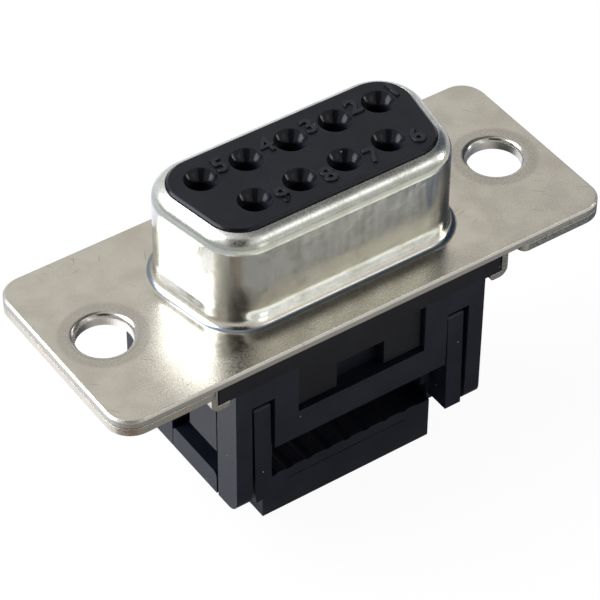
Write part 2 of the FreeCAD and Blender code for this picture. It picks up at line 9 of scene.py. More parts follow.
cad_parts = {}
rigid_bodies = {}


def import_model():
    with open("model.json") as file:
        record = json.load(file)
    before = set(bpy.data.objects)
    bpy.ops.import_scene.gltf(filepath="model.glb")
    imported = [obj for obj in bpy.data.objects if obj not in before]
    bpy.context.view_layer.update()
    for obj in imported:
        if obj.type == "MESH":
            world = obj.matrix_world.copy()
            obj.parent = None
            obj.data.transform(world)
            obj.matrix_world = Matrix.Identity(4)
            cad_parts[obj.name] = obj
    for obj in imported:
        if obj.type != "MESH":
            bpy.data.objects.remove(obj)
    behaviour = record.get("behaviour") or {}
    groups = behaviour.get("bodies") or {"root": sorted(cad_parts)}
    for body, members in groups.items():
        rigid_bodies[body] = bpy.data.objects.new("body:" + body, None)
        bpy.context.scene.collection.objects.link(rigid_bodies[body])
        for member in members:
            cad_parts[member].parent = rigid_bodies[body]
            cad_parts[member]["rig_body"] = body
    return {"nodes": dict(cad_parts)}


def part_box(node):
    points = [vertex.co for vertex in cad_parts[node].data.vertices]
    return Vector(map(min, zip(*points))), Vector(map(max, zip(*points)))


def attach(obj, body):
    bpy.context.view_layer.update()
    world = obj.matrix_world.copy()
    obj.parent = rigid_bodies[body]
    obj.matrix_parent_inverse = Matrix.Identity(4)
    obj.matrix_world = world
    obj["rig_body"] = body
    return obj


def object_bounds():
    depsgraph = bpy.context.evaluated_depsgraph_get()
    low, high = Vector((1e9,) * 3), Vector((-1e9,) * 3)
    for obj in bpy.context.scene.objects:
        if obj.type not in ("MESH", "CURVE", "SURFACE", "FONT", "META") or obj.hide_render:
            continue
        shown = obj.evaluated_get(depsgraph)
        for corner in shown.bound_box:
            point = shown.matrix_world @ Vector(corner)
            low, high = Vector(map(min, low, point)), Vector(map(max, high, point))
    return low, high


# Looks and studio of a nine-way receptacle for ribbon cable.
# All lengths are metres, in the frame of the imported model: +Z is the mating direction,
# +X runs along the flange towards contact 1, and Z = 0 is the front face of the flange.

bl_info = {
    "name": "Ribbon Cable Receptacle",
    "version": (1, 0, 0),
    "blender": (4, 5, 0),
    "location": "View3D > Sidebar > Receptacle",
    "description": "Finishes, raised numerals, rolled mouths and studio of a ribbon cable receptacle",
    "category": "Object",
}

MM = 0.001

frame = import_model()
CAD_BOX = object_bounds()

# Contacts: how many there are, and how many of them stand in the long row
CONTACT_COUNT = 9
LONG_ROW = 5

# Rolled mouths of the fixing holes: their finish, height over the facets under them, depth in rounds, facets
SHELL_FINISH = "tin_plated_shell"
RIM_PROUD = 0.004 * MM
RIM_DEPTH = 2
RIM_STEPS = 8
RIM_SEGMENTS = 96

# Numerals: height of a figure as a share of the font's size, and the reach that merges doubles
FIGURE_SHARE = 0.7
MERGE_REACH = 0.0005 * MM

# Drawn shroud in plan, and how far in from its sides its rounded corners begin and are full
SHROUD_HALF_LENGTH = 8.165 * MM
SHROUD_HALF_DEPTH = 3.95 * MM
CORNER_START = 2.6 * MM
CORNER_FULL = 1.2 * MM

# Zones of the shell by height, each limit as where its mask is 0 and where it is 1
WALL_FOOT = (0.15 * MM, 0.6 * MM)
WALL_TOP = (5.6 * MM, 5.2 * MM)
# Painted shade: the root line, the band above the foot and the band under the lip darken the wall by height
ROOT_SHADE_FOOT = (0.01 * MM, 0.03 * MM)
ROOT_SHADE_TOP = (0.18 * MM, 0.09 * MM)
SHADE_FOOT = (1.1 * MM, 1.7 * MM)
SHADE_TOP = (3.3 * MM, 2.2 * MM)
LIP_SHADE_FOOT = (4.95 * MM, 5.15 * MM)
LIP_SHADE_TOP = (5.62 * MM, 5.45 * MM)
BURNISH_TOP = (0.3 * MM, 0.1 * MM)
SHEARED_TOP = (-0.005 * MM, -0.05 * MM)
# Painted highlight: the bores of the fixing holes get a brighter colour, and their own roughness
BORE_TOP = (-0.12 * MM, -0.32 * MM)

# Fading edges of the zones on the flange, as shares of the size of each
RING_FULL = 0.88
RIM_START = 1.3
BURNISH_START = 1.4
BURNISH_FULL = 0.6

# Contact entries in the mating face: how far under it their smooth walls begin and end
ENTRY_TOP = 0.03 * MM
ENTRY_BOTTOM = 2.0 * MM

# Specks: share of their radius that is at full strength, and the specks of tin and of glass fibre
SPECK_CORE = 0.6
TIN_SPECK_RADIUS = 0.04 * MM
TIN_SPECK_SHARE = 0.35
FIBRE_SPACING = 0.8 * MM
FIBRE_RADIUS = 0.05 * MM
FIBRE_SHARE = 0.2

# Scratches: room for each one, half its length, its length over its width, and turn and share of each kind
SCRATCH_SPACING = 2.4 * MM
SCRATCH_HALF_LENGTH = 0.42 * MM
SCRATCH_SLENDERNESS = 22
SCRATCHES = ((0.25, 0.05), (-0.7, 0.05), (1.1, 0.05), (2.2, 0.04))

# Streaks: spacing of the mill's on the contacts, and how the mill's and the die's are drawn out along Z
MILL_STREAK = 0.2 * MM
MILL_STREAK_SCALE = (1.0, 1.0, 0.1)
DRAW_STREAK_SCALE = (1.0, 1.0, 0.12)

# Flow marks in the mouldings
FLOW_SIZE = 1.9 * MM

# Depths of the bumps
TIN_GRAIN_DEPTH = 0.0028 * MM
DENT_DEPTH = 0.035 * MM
MOULDING_GRAIN_DEPTH = 0.003 * MM

# How much of the plating's grain shows on the brackets, and on the shell from flat to polished or sheared
BRACKET_GRAIN = 0.5
SHELL_GRAIN = {"To Min": 1.0, "To Max": 0.25}

# How much of the wall's lean shows, from its straight sides to its rounded corners
WALL_LEAN = {"To Min": 1.0, "To Max": 0.1}

# Where the scratches of the flange end, as a share of the drawn wall's mask
SCRATCH_END = 0.3

# Spread of each noise, whose values keep mostly between these
METAL_SPREAD = {"From Min": 0.3, "From Max": 0.7}
MOULDING_SPREAD = {"From Min": 0.25, "From Max": 0.75}
TIN_CLOUD_SPREAD = (0.35, 0.7)
WALL_CLOUD_SPREAD = (0.45, 0.68)
FLOW_SPREAD = (0.3, 0.75)

# How strongly a layer of colour shows
COINED_STRENGTH = {"To Min": 0.35, "To Max": 0.8}
WALL_CLOUD_STRENGTH = 0.75
# Strengths of the painted shade bands on the drawn wall
WALL_SHADE_STRENGTH = 0.18
LIP_SHADE_STRENGTH = 0.75
MARK_STRENGTH = 0.7
FLOW_STRENGTH = 0.012

# Roughness of each metal finish
SATIN = {"To Min": 0.24, "To Max": 0.34}
DRAWN = {"To Min": 0.16, "To Max": 0.24}
ROLLED = {"To Min": 0.2, "To Max": 0.32}
SHEARED = 0.42
BORE = 0.38

# Mouldings: roughness, how much smoother and rougher than that the grain makes them, and specular level
MOULDED = 0.42
NUMERAL = 0.24
ENTRY = 0.16
GRAIN_SMOOTHER = 0.06
GRAIN_ROUGHER = 0.08
FACE_SHEEN = 0.14
HOUSING_SHEEN = 0.165
NUMERAL_SHEEN = 0.2

# Directions from the part to the lamps and to the cards
KEY_SIDE = (-0.61, 0.40, 0.68)
FRONT_SIDE = (0.24, -0.95, 0.12)
OVERHEAD_SIDE = (0.42, -0.68, 0.60)
STRIP_SIDE = (0.89, -0.41, 0.20)
CAMERA_SIDE = (-0.42, -0.60, 0.68)
CEILING_SIDE = (0.40, -0.10, 0.90)
RIGHT_SIDE = (0.82, 0.12, 0.50)
UP = (0, 0, 1)

# Camera: width of the sensor in millimetres, and the nearest and farthest that it sees
SENSOR_WIDTH = 36
NEAREST = 10 * MM
FARTHEST = 10000 * MM

# Sockets of a Mix node, whose names repeat for each type of data
SHARE = 0
VALUE_A = 2
VALUE_B = 3
COLOUR_A = 6
COLOUR_B = 7

# Map Range nodes go smoothly from one value to the other
SMOOTH = {"interpolation_type": "SMOOTHSTEP"}


def linear(hex_colour):
    """Scene colour of an sRGB hex value such as #B5AEA5."""
    channels = [int(hex_colour[i:i + 2], 16) / 255 for i in (1, 3, 5)]
    return [c / 12.92 if c <= 0.04045 else ((c + 0.055) / 1.055) ** 2.4 for c in channels]


def colour_property(name, hex_colour, description):
    return FloatVectorProperty(name=name, description=description, subtype="COLOR", size=3, min=0, max=1,
                               default=linear(hex_colour))


def length_property(name, millimetres, description):
    return FloatProperty(name=name, description=description, unit="LENGTH", default=millimetres * MM)


def angle_property(name, degrees, description):
    return FloatProperty(name=name, description=description, subtype="ANGLE", default=math.radians(degrees))


def share_property(name, share, description):
    return FloatProperty(name=name, description=description, subtype="FACTOR", min=0, max=1, default=share)


def glow_property(name, brightness, description):
    return FloatProperty(name=name, description=description, min=0, default=brightness)


class ReceptacleSizes(bpy.types.PropertyGroup):
    contact_pitch: length_property("Contact pitch", 2.77, "Spacing of the contacts along a row")
    row_spacing: length_property("Row spacing", 2.84, "Spacing of the two rows")
    hole_spacing: length_property("Hole spacing", 24.99, "Spacing of the two fixing holes")
    hole_bore: length_property("Hole bore", 3.05, "Bore of the fixing holes")
    rim_round: length_property("Rim round", 0.31, "Round of the rolled mouth of a fixing hole")
    coined_ring: length_property("Coined ring", 2.55, "Radius of the dull ring that the eyelet tool leaves")
    numeral_height: length_property("Numeral height", 1.06, "Height of the raised contact numbers")
    numeral_right: length_property("Numeral offset right", 1.02, "From a contact to its number's left side")
    numeral_aside_long: length_property("Numeral offset, long row", 0.36, "From a contact out to its number")
    numeral_aside_short: length_property("Numeral offset, short row", 0.53, "The same in the row of four")
    numeral_rise: length_property("Numeral rise", 0.07, "How far the numbers stand above the mating face")
    numeral_round: length_property("Numeral edge", 0.03, "Round on the edges of the numbers")
    numeral_weight: length_property("Numeral weight", 0.015, "How far the numbers' strokes are thickened")
    grain_size: length_property("Plating grain", 0.12, "Grain of the satin plating")
    cloud_size: length_property("Plating cloud", 1.7, "Size of the faint mottling of the plating")
    speck_spacing: length_property("Speck spacing", 1.1, "Spacing of the dark specks in the plating")
    draw_streak: length_property("Draw streak", 0.35, "Spacing of the faint draw lines on the shroud wall")
    foot_flare: length_property("Foot flare", 0.30, "How far the drawn wall leans out above its root")
    foot_flare_top: length_property("Foot flare top", 1.28, "Height at which the wall begins to lean out")
    foot_flare_bottom: length_property("Foot flare bottom", 0.2, "Height at which the lean ends")
    burnish_width: length_property("Burnished band", 0.9, "Flange that the die burnished round the shroud")
    wall_wave: length_property("Wall waviness", 1.3, "Spacing of the faint dents of the drawn wall")
    sheet_edge: length_property("Sheet edge", 0.06, "Round that tumbling leaves on the edges of the sheet")
    entry_depth: length_property("Entry depth", 0.7, "Depth of the flared mouth of a contact's entry")
    entry_round: length_property("Entry round", 0.10, "How far the mouth of an entry is rounded out")
    moulding_grain: length_property("Moulding grain", 0.09, "Grain of the moulded surfaces")
    moulding_edge: length_property("Moulding edge", 0.03, "Round on the edges of the moulded parts")


class ReceptacleColours(bpy.types.PropertyGroup):
    plating: colour_property("Plating", "#B9B4A7", "Satin plating of the flange")
    plating_shade: colour_property("Plating shade", "#AFA99D", "Darker mottling of the plating")
    shroud: colour_property("Shroud", "#C2C3BD", "Polished wall of the drawn shroud")
    speck: colour_property("Speck", "#6A635B", "Dark specks and scratches in the plating")
    wall_cloud: colour_property("Wall mottling", "#A9A89F", "Faint darker clouds on the drawn wall")
    # Painted shade: darker line at the root of the shroud, laid on by height
    root: colour_property("Shroud root", "#747C85", "Dark line at the root of the drawn shroud")
    coined: colour_property("Coined ring", "#98938A", "Dull ring round the fixing holes")
    # Painted highlight: brighter colour laid in the bores of the fixing holes
    bore: colour_property("Bore", "#D6D3CC", "Bright drawn wall of the fixing holes")
    sheared: colour_property("Sheared edge", "#A09D97", "Duller sheared edges of the sheet")
    # Painted shade of the bands above the wall's foot and under its lip
    wall_shade: colour_property("Wall shade", "#85877F", "Darker bands above the foot and under the lip")
    bracket: colour_property("Bracket", "#A8A59E", "Plating of the rear brackets")
    moulding: colour_property("Moulding", "#0E111B", "Black glass-filled polyester")
    moulding_speck: colour_property("Moulding speck", "#9094A0", "Pale specks of glass fibre")
    mating_face: colour_property("Mating face", "#0D0E13", "Black face of the front insulator")
    contact: colour_property("Contact", "#C9A257", "Gold flash on the contacts")
    key: colour_property("Key light", "#EDF1FF", "Cool white of the soft box")
    floor: colour_property("Floor", "#FFFFFF", "Plain white floor")
    camera_side: colour_property("Camera side", "#3A3128", "Dark card behind the camera")
    ceiling: colour_property("Ceiling", "#868684", "Grey card overhead")
    right_side: colour_property("Right side", "#5A6372", "Blue-grey card on the right")
    # Painted shadows and a painted pool of light: patches of paper that only reflections see
    floor_shade: colour_property("Floor shade", "#ABAAA8", "Paper in front that lies in the part's shadow")
    floor_near: colour_property("Near floor shade", "#85858B", "Paper at the part's foot, deep in its shadow")
    floor_right: colour_property("Right floor shade", "#646C80", "Paper on the right in the part's shadow")
    # Painted warm shadow on the paper in front on the left
    floor_warm: colour_property("Warm floor shade", "#8A7660", "Dim warm paper in front on the left")
    floor_bright: colour_property("Lit floor", "#FBFAF2", "Paper beyond the shadow, in full light")


class ReceptacleCamera(bpy.types.PropertyGroup):
    azimuth: angle_property("Azimuth", -34.9576, "Camera's turn round the part")
    elevation: angle_property("Elevation", 43.0272, "Camera's angle above the floor")
    roll: angle_property("Roll", 0.5145, "Camera's turn about its own axis")
    distance: length_property("Distance", 155.934, "From the camera to the point it looks at")
    lens: FloatProperty(name="Lens", description="Focal length in millimetres", unit="CAMERA", default=177.69)
    aim: FloatVectorProperty(name="Aim", description="Point the camera looks at", subtype="TRANSLATION",
                             default=(-1.4077 * MM, -1.5297 * MM, -2.2072 * MM))


class ReceptacleStudio(bpy.types.PropertyGroup):
    key_radiance: glow_property("Key light", 9.5, "Brightness of the soft box")
    key_size: length_property("Key size", 225.0, "Side of the square soft box")
    key_distance: length_property("Key distance", 300.0, "From the part to the soft box")
    strip_distance: length_property("Strip distance", 350.0, "From the part to each strip light")
    front_radiance: glow_property("Front strip", 2.2, "Brightness of the low strip in front")
    front_width: length_property("Front strip width", 90.0, "Width of the low strip in front")
    front_height: length_property("Front strip height", 110.0, "Height of the low strip in front")
    overhead_radiance: glow_property("Overhead strip", 2.2, "Brightness of the strip over the front")
    overhead_width: length_property("Overhead strip width", 160.0, "Width of the strip over the front")
    overhead_height: length_property("Overhead strip height", 60.0, "Height of the strip over the front")
    side_radiance: glow_property("Side strip", 9.0, "Brightness of the narrow light on the right")
    side_width: length_property("Side strip width", 45.0, "Width of the narrow light on the right")
    side_height: length_property("Side strip height", 130.0, "Height of the narrow light on the right")
    card_distance: length_property("Card distance", 500.0, "From the part to each upright card")
    paper_glow: glow_property("Lit paper", 1.7, "Brightness of the paper in full light")
    # Painted pool of light on the paper under the flange's left
    left_glow: glow_property("Left paper", 1.8, "Brightness of the paper under the flange's left")
    fill: share_property("Fill", 0.42, "Strength of the white surroundings as a lamp")
    floor_size: length_property("Floor size", 3000.0, "Side of the square floor")
    floor_glow: share_property("Floor glow", 0.95, "Share of the floor shown plain white")
    floor_mirror_glow: share_property("Floor glow in gloss", 0.12, "The same share in reflections")


def add_node(tree, kind, inputs=None, **settings):
    """Adds a shader node. An input is a value or a socket, or a node for the first output it has in use."""
    node = tree.nodes.new("ShaderNode" + kind)
    for field, value in settings.items():
        setattr(node, field, value)
    for key, value in (inputs or {}).items():
        if isinstance(value, bpy.types.Node):
            value = next(output for output in value.outputs if output.enabled)
        if isinstance(value, bpy.types.NodeSocket):
            tree.links.new(value, node.inputs[key])
        else:
            node.inputs[key].default_value = value
    return node


def empty_material(name):
    material = bpy.data.materials.new(name)
    material.use_nodes = True
    material.node_tree.nodes.clear()
    return material


def rgba(colour):
    return (*colour, 1.0)


def mask(tree, *limits):
    """Product of smooth steps. Each limit is a value, where its step is 0 and where it is 1."""
    steps = [add_node(tree, "MapRange", {"Value": value, "From Min": nought, "From Max": full}, **SMOOTH)
             for value, nought, full in limits]
    product = steps[0]
    for step in steps[1:]:
        product = add_node(tree, "Math", {0: product, 1: step}, operation="MULTIPLY")
    return product


def lay_colours(tree, colour, layers):
    """Lays colours over the first one, each by its mask and its strength."""
    for layer_mask, strength, over in layers:
        share = add_node(tree, "Math", {0: layer_mask, 1: strength}, operation="MULTIPLY")
        colour = add_node(tree, "Mix", {SHARE: share, COLOUR_A: colour, COLOUR_B: over}, data_type="RGBA")
    return colour


def specks(tree, place, spacing, radius, share):
    """Mask of round specks, one in some of the cells of the given spacing."""
    cell = add_node(tree, "TexVoronoi", {"Vector": place, "Scale": 1 / spacing})
    speck = mask(tree, (cell.outputs["Distance"], radius / spacing, radius / spacing * SPECK_CORE))
    chance = add_node(tree, "SeparateColor", {"Color": cell.outputs["Color"]})
    chosen = add_node(tree, "Math", {0: chance, 1: share}, operation="LESS_THAN")
    return add_node(tree, "Math", {0: speck, 1: chosen}, operation="MULTIPLY")


def scratches(tree, place):
    """Mask of short fine scratches, which run in a few directions."""
    marks = 0.0
    for turn, share in SCRATCHES:
        turned = add_node(tree, "Mapping", {"Vector": place, "Rotation": (0, 0, turn),
                                            "Scale": (1.0, 1 / SCRATCH_SLENDERNESS, 1.0)},
                          vector_type="TEXTURE")
        one_way = specks(tree, turned, SCRATCH_SPACING, SCRATCH_HALF_LENGTH, share)
        marks = add_node(tree, "Math", {0: marks, 1: one_way}, operation="MAXIMUM")
    return marks


def distance_in_plan(tree, along, across):
    flat = add_node(tree, "CombineXYZ", {"X": along, "Y": across})
    return add_node(tree, "VectorMath", {0: flat}, operation="LENGTH")


def hole_distance(tree, place, sizes):
    """Distance from the axis of the nearer fixing hole."""
    axes = add_node(tree, "SeparateXYZ", {"Vector": place}).outputs
    reach = add_node(tree, "Math", {0: axes["X"]}, operation="ABSOLUTE")
    along = add_node(tree, "Math", {0: reach, 1: sizes.hole_spacing / 2}, operation="SUBTRACT")
    return distance_in_plan(tree, along, axes["Y"])


def shroud_reach(tree, place):
    """How far a point lies from the middle along and across the shroud, each with the shroud's half size."""
    axes = add_node(tree, "SeparateXYZ", {"Vector": place}).outputs
    return [(add_node(tree, "Math", {0: axes[axis]}, operation="ABSOLUTE"), half)
            for axis, half in (("X", SHROUD_HALF_LENGTH), ("Y", SHROUD_HALF_DEPTH))]


def shroud_distance(tree, place):
    """Distance from the shroud's box in plan, which is nought inside it."""
    beyond = []
    for reach, half in shroud_reach(tree, place):
        past = add_node(tree, "Math", {0: reach, 1: half}, operation="SUBTRACT")
        beyond.append(add_node(tree, "Math", {0: past, 1: 0.0}, operation="MAXIMUM"))
    return distance_in_plan(tree, *beyond)


def corner_share(tree, place):
    """1 on the rounded corners of the shroud, 0 along its straight walls."""
    return mask(tree, *((reach, half - CORNER_START, half - CORNER_FULL)
                        for reach, half in shroud_reach(tree, place)))


def shell_zones(tree, place, sizes):
    """Masks of the zones of the shell: where the press worked the sheet, and painted shade and highlight."""
    height = add_node(tree, "SeparateXYZ", {"Vector": place}).outputs["Z"]
    from_hole = hole_distance(tree, place, sizes)
    bore_radius = sizes.hole_bore / 2
    rim = (from_hole, bore_radius + sizes.rim_round * RIM_START, bore_radius + sizes.rim_round)
    by_shroud = (shroud_distance(tree, place), sizes.burnish_width * BURNISH_START,
                 sizes.burnish_width * BURNISH_FULL)
    zones = {
        "wall": mask(tree, (height, *WALL_FOOT)),
        "drawn": mask(tree, (height, *WALL_FOOT), (height, *WALL_TOP)),
        "root": mask(tree, (height, *ROOT_SHADE_FOOT), (height, *ROOT_SHADE_TOP)),
        "shade": mask(tree, (height, *SHADE_FOOT), (height, *SHADE_TOP)),
        "painted_lip_shade": mask(tree, (height, *LIP_SHADE_FOOT), (height, *LIP_SHADE_TOP)),
        "sheared": mask(tree, (height, *SHEARED_TOP)),
        "coined": mask(tree, (from_hole, sizes.coined_ring, sizes.coined_ring * RING_FULL)),
        "bore": mask(tree, rim, (height, *BORE_TOP)),
    }
    zones["polished"] = zones["drawn"]
    for other in (mask(tree, rim), mask(tree, (height, *BURNISH_TOP), by_shroud)):
        zones["polished"] = add_node(tree, "Math", {0: zones["polished"], 1: other}, operation="MAXIMUM")
    return zones


def shell_colour(tree, place, grain, zones, plating, sizes, colours):
    """Plating with the drawn wall, coined rings and sheared edges, a painted highlight in the bores and
    painted shade bands.
    """
    clouds = add_node(tree, "TexNoise", {"Vector": place, "Scale": 1 / sizes.wall_wave, "Detail": 6.0})
    # The drawn wall, with a band of painted shade above its foot
    wall = lay_colours(tree, rgba(colours.shroud), (
        (mask(tree, (clouds, *WALL_CLOUD_SPREAD)), WALL_CLOUD_STRENGTH, rgba(colours.wall_cloud)),
        (zones["shade"], WALL_SHADE_STRENGTH, rgba(colours.wall_shade))))
    coined = add_node(tree, "MapRange", {"Value": grain, **METAL_SPREAD, **COINED_STRENGTH}, **SMOOTH)
    return lay_colours(tree, plating, (
        (zones["coined"], coined, rgba(colours.coined)),
        (zones["wall"], 1.0, wall),
        (zones["sheared"], 1.0, rgba(colours.sheared)),
        # Painted highlight in the bores of the fixing holes
        (zones["bore"], 1.0, rgba(colours.bore)),
        # Painted shade: the line at the root and the band under the lip
        (zones["root"], 1.0, rgba(colours.root)),
        (zones["painted_lip_shade"], LIP_SHADE_STRENGTH, rgba(colours.wall_shade))))


def shell_roughness(tree, place, zones, satin, sizes):
    """Satin where flat, dull where sheared and in the bores, and streaked by the die where polished."""
    drawn_out = add_node(tree, "Mapping", {"Vector": place, "Scale": DRAW_STREAK_SCALE})
    streaks = add_node(tree, "TexNoise", {"Vector": drawn_out, "Scale": 1 / sizes.draw_streak, "Detail": 2.0})
    drawn = add_node(tree, "MapRange", {"Value": streaks, **METAL_SPREAD, **DRAWN}, **SMOOTH)
    roughness = satin
    for zone, finish in (("sheared", SHEARED), ("polished", drawn), ("bore", BORE)):
        roughness = add_node(tree, "Mix", {SHARE: zones[zone], VALUE_A: roughness, VALUE_B: finish},
                             data_type="FLOAT")
    return roughness


def shell_normal(tree, place, zones, edge, sizes):
    """Lean of the straight walls above their root, and the faint dents of the drawn wall."""
    height = add_node(tree, "SeparateXYZ", {"Vector": place}).outputs["Z"]
    lean = add_node(tree, "MapRange", {"Value": height, "From Min": sizes.foot_flare_bottom,
                                       "From Max": sizes.foot_flare_top, "To Min": sizes.foot_flare,
                                       "To Max": 0.0}, **SMOOTH)
    shown = add_node(tree, "MapRange", {"Value": corner_share(tree, place), **WALL_LEAN}, **SMOOTH)
    leaning = add_node(tree, "Bump", {"Height": lean, "Distance": 1.0, "Strength": shown, "Normal": edge})
    dents = add_node(tree, "TexNoise", {"Vector": place, "Scale": 1 / sizes.wall_wave, "Detail": 3.0})
    return add_node(tree, "Bump", {"Height": dents, "Distance": DENT_DEPTH, "Strength": zones["drawn"],
                                   "Normal": leaning})


def tin_plated_steel(name, sizes, colours, plain, is_shell):
    """Tin on drawn steel sheet: satin with a fine grain where flat, polished where the die drew it.

    Real grain and scratches are a few thousandths of a millimetre wide, so they are drawn coarser to show.
    """
    material = empty_material(name)
    tree = material.node_tree
    place = add_node(tree, "TexCoord").outputs["Object"]
    grain = add_node(tree, "TexNoise", {"Vector": place, "Scale": 1 / sizes.grain_size, "Detail": 3.0})
    cloud = add_node(tree, "TexNoise", {"Vector": place, "Scale": 1 / sizes.cloud_size, "Detail": 4.0})
    mottling = mask(tree, (cloud, *TIN_CLOUD_SPREAD))
    colour = lay_colours(tree, rgba(plain), ((mottling, 1.0, rgba(colours.plating_shade)),))
    roughness = add_node(tree, "MapRange", {"Value": grain, **METAL_SPREAD, **SATIN}, **SMOOTH)
    normal = add_node(tree, "Bevel", {"Radius": sizes.sheet_edge}, samples=4)
    grain_share = BRACKET_GRAIN
    scratched = scratches(tree, place)
    if is_shell:
        zones = shell_zones(tree, place, sizes)
        colour = shell_colour(tree, place, grain, zones, colour, sizes, colours)
        roughness = shell_roughness(tree, place, zones, roughness, sizes)
        normal = shell_normal(tree, place, zones, normal, sizes)
        smoothed = add_node(tree, "Math", {0: zones["polished"], 1: zones["sheared"]}, operation="MAXIMUM")
        grain_share = add_node(tree, "MapRange", {"Value": smoothed, **SHELL_GRAIN}, **SMOOTH)
        flat = mask(tree, (zones["drawn"], SCRATCH_END, 0.0))
        scratched = add_node(tree, "Math", {0: scratched, 1: flat}, operation="MULTIPLY")
    tin_specks = specks(tree, place, sizes.speck_spacing, TIN_SPECK_RADIUS, TIN_SPECK_SHARE)
    marks = add_node(tree, "Math", {0: tin_specks, 1: scratched}, operation="MAXIMUM")
    colour = lay_colours(tree, colour, ((marks, MARK_STRENGTH, rgba(colours.speck)),))
    bump = add_node(tree, "Bump", {"Height": grain, "Distance": TIN_GRAIN_DEPTH, "Strength": grain_share,
                                   "Normal": normal})
    shader = add_node(tree, "BsdfPrincipled", {"Base Color": colour, "Metallic": 1.0, "Roughness": roughness,
                                               "Normal": bump})
    add_node(tree, "OutputMaterial", {"Surface": shader})
    return material


def entry_mouths(tree, place, roughness, edge, sizes):
    """Roughness and normal of the smooth flared mouths of the contacts' entries."""
    height = add_node(tree, "SeparateXYZ", {"Vector": place}).outputs["Z"]
    face_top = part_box("front_insulator")[1].z
    under = add_node(tree, "Math", {0: height, 1: face_top - ENTRY_TOP}, operation="LESS_THAN")
    over = add_node(tree, "Math", {0: height, 1: face_top - ENTRY_BOTTOM}, operation="GREATER_THAN")
    inside = add_node(tree, "Math", {0: under, 1: over}, operation="MULTIPLY")
    roughness = add_node(tree, "Mix", {SHARE: inside, VALUE_A: roughness, VALUE_B: ENTRY}, data_type="FLOAT")
    flare = add_node(tree, "MapRange", {"Value": height, "From Min": face_top - sizes.entry_depth,
                                        "From Max": face_top, "To Min": sizes.entry_round, "To Max": 0.0},
                     **SMOOTH)
    normal = add_node(tree, "Bump", {"Height": flare, "Distance": 1.0, "Strength": 1.0, "Normal": edge})
    return roughness, normal


def glass_filled_polyester(name, sizes, colours, plain, dullness, sheen, has_entries=False):
    """Black moulded polyester with glass fibre: a dull sheen, fine grain and a few pale specks of fibre.

    Real fibres are a hundredth of a millimetre thick, so both they and the grain are drawn coarser to show.
    """
    material = empty_material(name)
    tree = material.node_tree
    place = add_node(tree, "TexCoord").outputs["Object"]
    grain = add_node(tree, "TexNoise", {"Vector": place, "Scale": 1 / sizes.moulding_grain, "Detail": 3.0})
    flow = add_node(tree, "TexNoise", {"Vector": place, "Scale": 1 / FLOW_SIZE, "Detail": 3.0})
    fibres = specks(tree, place, FIBRE_SPACING, FIBRE_RADIUS, FIBRE_SHARE)
    colour = lay_colours(tree, rgba(plain), (
        (mask(tree, (flow, *FLOW_SPREAD)), FLOW_STRENGTH, rgba(colours.moulding_speck)),
        (fibres, 1.0, rgba(colours.moulding_speck))))
    roughness = add_node(tree, "MapRange", {"Value": grain, **MOULDING_SPREAD,
                                            "To Min": dullness - GRAIN_SMOOTHER,
                                            "To Max": dullness + GRAIN_ROUGHER}, **SMOOTH)
    normal = add_node(tree, "Bevel", {"Radius": sizes.moulding_edge}, samples=4)
    if has_entries:
        roughness, normal = entry_mouths(tree, place, roughness, normal, sizes)
    bump = add_node(tree, "Bump", {"Height": grain, "Distance": MOULDING_GRAIN_DEPTH, "Strength": 1.0,
                                   "Normal": normal})
    shader = add_node(tree, "BsdfPrincipled", {"Base Color": colour, "Roughness": roughness, "IOR": 1.55,
                                               "Specular IOR Level": sheen, "Normal": bump})
    add_node(tree, "OutputMaterial", {"Surface": shader})
    return material


def gold_flashed_bronze(name, colours):
    """Stamped phosphor bronze with a thin gold flash, slightly streaked by the rolling mill."""
    material = empty_material(name)
    tree = material.node_tree
    place = add_node(tree, "TexCoord").outputs["Object"]
    drawn_out = add_node(tree, "Mapping", {"Vector": place, "Scale": MILL_STREAK_SCALE})
    streaks = add_node(tree, "TexNoise", {"Vector": drawn_out, "Scale": 1 / MILL_STREAK, "Detail": 2.0})
    roughness = add_node(tree, "MapRange", {"Value": streaks, **METAL_SPREAD, **ROLLED}, **SMOOTH)
    shader = add_node(tree, "BsdfPrincipled", {"Base Color": rgba(colours.contact), "Metallic": 1.0,
                                               "Roughness": roughness})
    add_node(tree, "OutputMaterial", {"Surface": shader})
    return material


def dress(node, material):
    mesh = frame["nodes"][node].data
    mesh.materials.clear()
    mesh.materials.append(material)


def body_of(node):
    return frame["nodes"][node]["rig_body"]


def object_from(bm, name, material):
    """Turns a bmesh into an object of the scene."""
    mesh = bpy.data.meshes.new(name)
    bm.to_mesh(mesh)
    bm.free()
    mesh.materials.append(material)
    made = bpy.data.objects.new(name, mesh)
    bpy.context.scene.collection.objects.link(made)
    return made


def piece_from(bm, name, material, body):
    """Turns a bmesh into a finished piece that rides on a body."""
    piece = object_from(bm, name, material)
    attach(piece, body)


def socket_places(sizes):
    """Centre of each contact's entry; a contact's own box leans towards its cable fork."""
    places = {}
    for first, last, row in ((1, LONG_ROW, 0.5), (LONG_ROW + 1, CONTACT_COUNT, -0.5)):
        middle = (first + last) / 2
        for number in range(first, last + 1):
            places[number] = Vector(((middle - number) * sizes.contact_pitch, row * sizes.row_spacing, 0))
    return places


class RECEPTACLE_OT_plated_sheet(bpy.types.Operator):
    """Gives the drawn shell and the rear brackets their tin plating"""
    bl_idname = "receptacle.plated_sheet"
    bl_label = "Plated sheet"

    def execute(self, context):
        sizes = context.scene.receptacle_sizes
        colours = context.scene.receptacle_colours
        dress("front_shell", tin_plated_steel(SHELL_FINISH, sizes, colours, colours.plating, is_shell=True))
        bracket = tin_plated_steel("tin_plated_bracket", sizes, colours, colours.bracket, is_shell=False)
        for side in ("left", "right"):
            dress("rear_bracket_" + side, bracket)
        return {"FINISHED"}


